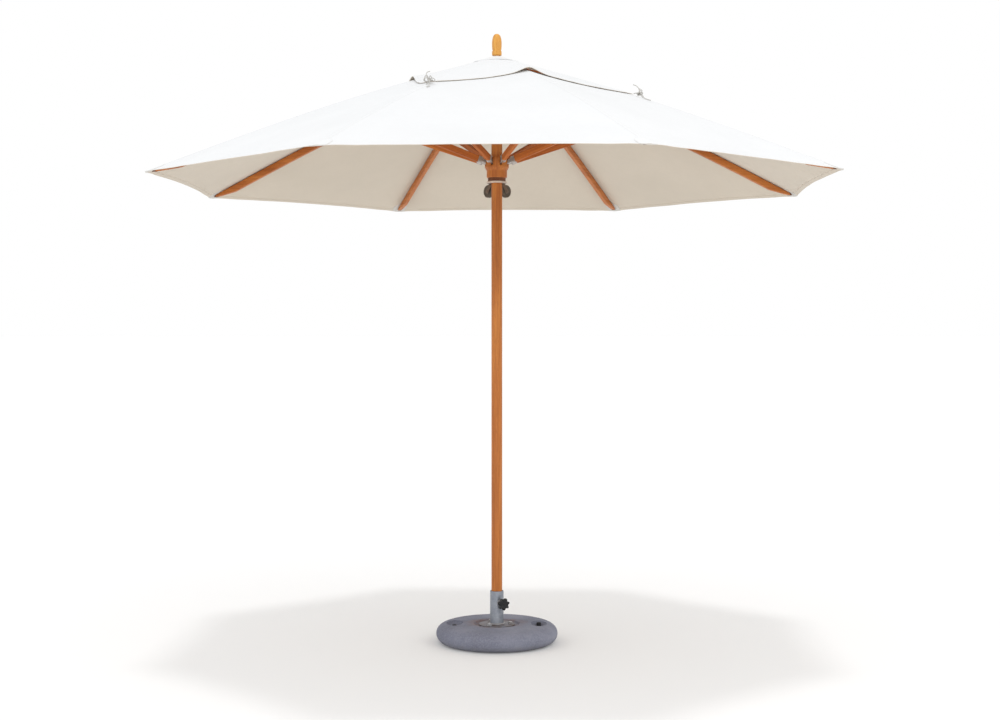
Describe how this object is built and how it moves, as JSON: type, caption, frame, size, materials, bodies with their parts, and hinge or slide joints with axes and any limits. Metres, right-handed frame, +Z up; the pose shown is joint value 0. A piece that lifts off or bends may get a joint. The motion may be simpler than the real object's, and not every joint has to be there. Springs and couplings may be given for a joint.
{
  "type": "patio umbrella with base",
  "caption": "Octagonal garden umbrella with a square vent cap, wooden pole, ribs and struts, a pulley runner, and a round concrete base with a clamp tube.",
  "frame": {"origin": "centre of the concrete base's underside, on the ground", "axes": "+Z up along the pole; +X and +Y each midway between two ribs; the clamp knob is on the -Y side, 30 degrees towards +X"},
  "size_m": [2.816, 2.816, 2.69],
  "materials": {
    "concrete": "matte",
    "tube_steel": "satin",
    "bolt_steel": "satin",
    "plug_rubber": "matte",
    "knob_plastic": "matte",
    "pole_wood": "satin",
    "rib_wood": "satin",
    "strut_wood": "satin",
    "hub_wood": "satin",
    "finial_wood": "satin",
    "ring_steel": "satin",
    "plate_metal": "satin",
    "fitting_steel": "satin",
    "pulley_metal": "satin",
    "bracket_metal": "satin",
    "canopy_fabric": "matte",
    "tie_cord": "matte"
  },
  "bodies": {
    "base": {"base_weight": "concrete", "base_tube": "tube_steel", "flange_bolt_1": "bolt_steel", "flange_bolt_2": "bolt_steel", "flange_bolt_3": "bolt_steel", "recess_plug_left": "plug_rubber", "recess_plug_right": "plug_rubber"},
    "clamp": {"clamp_knob": "knob_plastic"},
    "pole": {"pole": "pole_wood", "crown_hub": "hub_wood", "crown_ring": "ring_steel", "finial": "finial_wood", "vent_cap_crown": "canopy_fabric"},
    "rib_1": {"rib_1": "rib_wood", "canopy_gore_1": "canopy_fabric"},
    "rib_2": {"rib_2": "rib_wood", "canopy_gore_2": "canopy_fabric", "vent_cap_1": "canopy_fabric", "vent_tie_1": "tie_cord"},
    "rib_3": {"rib_3": "rib_wood", "canopy_gore_3": "canopy_fabric"},
    "rib_4": {"rib_4": "rib_wood", "canopy_gore_4": "canopy_fabric", "vent_cap_2": "canopy_fabric", "vent_tie_2": "tie_cord"},
    "rib_5": {"rib_5": "rib_wood", "canopy_gore_5": "canopy_fabric"},
    "rib_6": {"rib_6": "rib_wood", "canopy_gore_6": "canopy_fabric", "vent_cap_3": "canopy_fabric", "vent_tie_3": "tie_cord"},
    "rib_7": {"rib_7": "rib_wood", "canopy_gore_7": "canopy_fabric"},
    "rib_8": {"rib_8": "rib_wood", "canopy_gore_8": "canopy_fabric", "vent_cap_4": "canopy_fabric", "vent_tie_4": "tie_cord"},
    "strut_1": {"strut_1": "strut_wood", "strut_fitting_1": "fitting_steel"},
    "strut_2": {"strut_2": "strut_wood", "strut_fitting_2": "fitting_steel"},
    "strut_3": {"strut_3": "strut_wood", "strut_fitting_3": "fitting_steel"},
    "strut_4": {"strut_4": "strut_wood", "strut_fitting_4": "fitting_steel"},
    "strut_5": {"strut_5": "strut_wood", "strut_fitting_5": "fitting_steel"},
    "strut_6": {"strut_6": "strut_wood", "strut_fitting_6": "fitting_steel"},
    "strut_7": {"strut_7": "strut_wood", "strut_fitting_7": "fitting_steel"},
    "strut_8": {"strut_8": "strut_wood", "strut_fitting_8": "fitting_steel"},
    "runner": {"runner_hub": "hub_wood", "runner_ring": "ring_steel", "runner_plate": "plate_metal", "pulley_bracket_left": "bracket_metal", "pulley_bracket_right": "bracket_metal"},
    "pulley_left": {"pulley_left": "pulley_metal"},
    "pulley_right": {"pulley_right": "pulley_metal"}
  },
  "joints": [
    {"name": "pole_lift", "type": "slide", "parent": "base", "child": "pole", "axis": [0, 0, 1], "range_m": [0, 0.15]},
    {"name": "clamp_turn", "type": "hinge", "parent": "base", "child": "clamp", "pos_m": [0, 0, 0.178], "axis": [0.5, -0.866, 0], "continuous": true},
    {"name": "canopy_fold", "type": "hinge", "parent": "pole", "child": "rib_1", "pos_m": [0.03696, 0.01531, 2.53], "axis": [-0.3827, 0.9239, 0], "range_deg": [0, 66.9], "deforming": ["canopy_gore_1"]},
    {"name": "rib_2_fold", "type": "hinge", "parent": "pole", "child": "rib_2", "pos_m": [0.01531, 0.03696, 2.53], "axis": [-0.9239, 0.3827, 0], "range_deg": [0, 66.9], "deforming": ["canopy_gore_2", "vent_cap_1", "vent_tie_1"]},
    {"name": "rib_3_fold", "type": "hinge", "parent": "pole", "child": "rib_3", "pos_m": [-0.01531, 0.03696, 2.53], "axis": [-0.9239, -0.3827, 0], "range_deg": [0, 66.9], "deforming": ["canopy_gore_3"]},
    {"name": "rib_4_fold", "type": "hinge", "parent": "pole", "child": "rib_4", "pos_m": [-0.03696, 0.01531, 2.53], "axis": [-0.3827, -0.9239, 0], "range_deg": [0, 66.9], "deforming": ["canopy_gore_4", "vent_cap_2", "vent_tie_2"]},
    {"name": "rib_5_fold", "type": "hinge", "parent": "pole", "child": "rib_5", "pos_m": [-0.03696, -0.01531, 2.53], "axis": [0.3827, -0.9239, 0], "range_deg": [0, 66.9], "deforming": ["canopy_gore_5"]},
    {"name": "rib_6_fold", "type": "hinge", "parent": "pole", "child": "rib_6", "pos_m": [-0.01531, -0.03696, 2.53], "axis": [0.9239, -0.3827, 0], "range_deg": [0, 66.9], "deforming": ["canopy_gore_6", "vent_cap_3", "vent_tie_3"]},
    {"name": "rib_7_fold", "type": "hinge", "parent": "pole", "child": "rib_7", "pos_m": [0.01531, -0.03696, 2.53], "axis": [0.9239, 0.3827, 0], "range_deg": [0, 66.9], "deforming": ["canopy_gore_7"]},
    {"name": "rib_8_fold", "type": "hinge", "parent": "pole", "child": "rib_8", "pos_m": [0.03696, -0.01531, 2.53], "axis": [0.3827, 0.9239, 0], "range_deg": [0, 66.9], "deforming": ["canopy_gore_8", "vent_cap_4", "vent_tie_4"]},
    {"name": "strut_1_fold", "type": "hinge", "parent": "rib_1", "child": "strut_1", "pos_m": [0.58389, 0.24186, 2.32501], "axis": [0.3827, -0.9239, 0], "range_deg": [0, 133.8]},
    {"name": "strut_2_fold", "type": "hinge", "parent": "rib_2", "child": "strut_2", "pos_m": [0.24186, 0.58389, 2.32501], "axis": [0.9239, -0.3827, 0], "range_deg": [0, 133.8]},
    {"name": "strut_3_fold", "type": "hinge", "parent": "rib_3", "child": "strut_3", "pos_m": [-0.24186, 0.58389, 2.32501], "axis": [0.9239, 0.3827, 0], "range_deg": [0, 133.8]},
    {"name": "strut_4_fold", "type": "hinge", "parent": "rib_4", "child": "strut_4", "pos_m": [-0.58389, 0.24186, 2.32501], "axis": [0.3827, 0.9239, 0], "range_deg": [0, 133.8]},
    {"name": "strut_5_fold", "type": "hinge", "parent": "rib_5", "child": "strut_5", "pos_m": [-0.58389, -0.24186, 2.32501], "axis": [-0.3827, 0.9239, 0], "range_deg": [0, 133.8]},
    {"name": "strut_6_fold", "type": "hinge", "parent": "rib_6", "child": "strut_6", "pos_m": [-0.24186, -0.58389, 2.32501], "axis": [-0.9239, 0.3827, 0], "range_deg": [0, 133.8]},
    {"name": "strut_7_fold", "type": "hinge", "parent": "rib_7", "child": "strut_7", "pos_m": [0.24186, -0.58389, 2.32501], "axis": [-0.9239, -0.3827, 0], "range_deg": [0, 133.8]},
    {"name": "strut_8_fold", "type": "hinge", "parent": "rib_8", "child": "strut_8", "pos_m": [0.58389, -0.24186, 2.32501], "axis": [-0.3827, -0.9239, 0], "range_deg": [0, 133.8]},
    {"name": "runner_level", "type": "hinge", "parent": "strut_1", "child": "runner", "pos_m": [0.03696, 0.01531, 2.12001], "axis": [-0.3827, 0.9239, 0], "range_deg": [0, 66.9]},
    {"name": "pulley_left_spin", "type": "hinge", "parent": "runner", "child": "pulley_left", "pos_m": [-0.03751, 0.03884, 2.00011], "axis": [-0.7193, -0.6947, 0], "continuous": true},
    {"name": "pulley_right_spin", "type": "hinge", "parent": "runner", "child": "pulley_right", "pos_m": [0.03751, 0.03884, 2.00011], "axis": [-0.7193, 0.6947, 0], "continuous": true}
  ],
  "couplings": [
    {"joint": "rib_2_fold", "follows": "canopy_fold", "ratio": 1},
    {"joint": "rib_3_fold", "follows": "canopy_fold", "ratio": 1},
    {"joint": "rib_4_fold", "follows": "canopy_fold", "ratio": 1},
    {"joint": "rib_5_fold", "follows": "canopy_fold", "ratio": 1},
    {"joint": "rib_6_fold", "follows": "canopy_fold", "ratio": 1},
    {"joint": "rib_7_fold", "follows": "canopy_fold", "ratio": 1},
    {"joint": "rib_8_fold", "follows": "canopy_fold", "ratio": 1},
    {"joint": "strut_1_fold", "follows": "canopy_fold", "ratio": 2},
    {"joint": "strut_2_fold", "follows": "canopy_fold", "ratio": 2},
    {"joint": "strut_3_fold", "follows": "canopy_fold", "ratio": 2},
    {"joint": "strut_4_fold", "follows": "canopy_fold", "ratio": 2},
    {"joint": "strut_5_fold", "follows": "canopy_fold", "ratio": 2},
    {"joint": "strut_6_fold", "follows": "canopy_fold", "ratio": 2},
    {"joint": "strut_7_fold", "follows": "canopy_fold", "ratio": 2},
    {"joint": "strut_8_fold", "follows": "canopy_fold", "ratio": 2},
    {"joint": "runner_level", "follows": "canopy_fold", "ratio": 1}
  ]
}
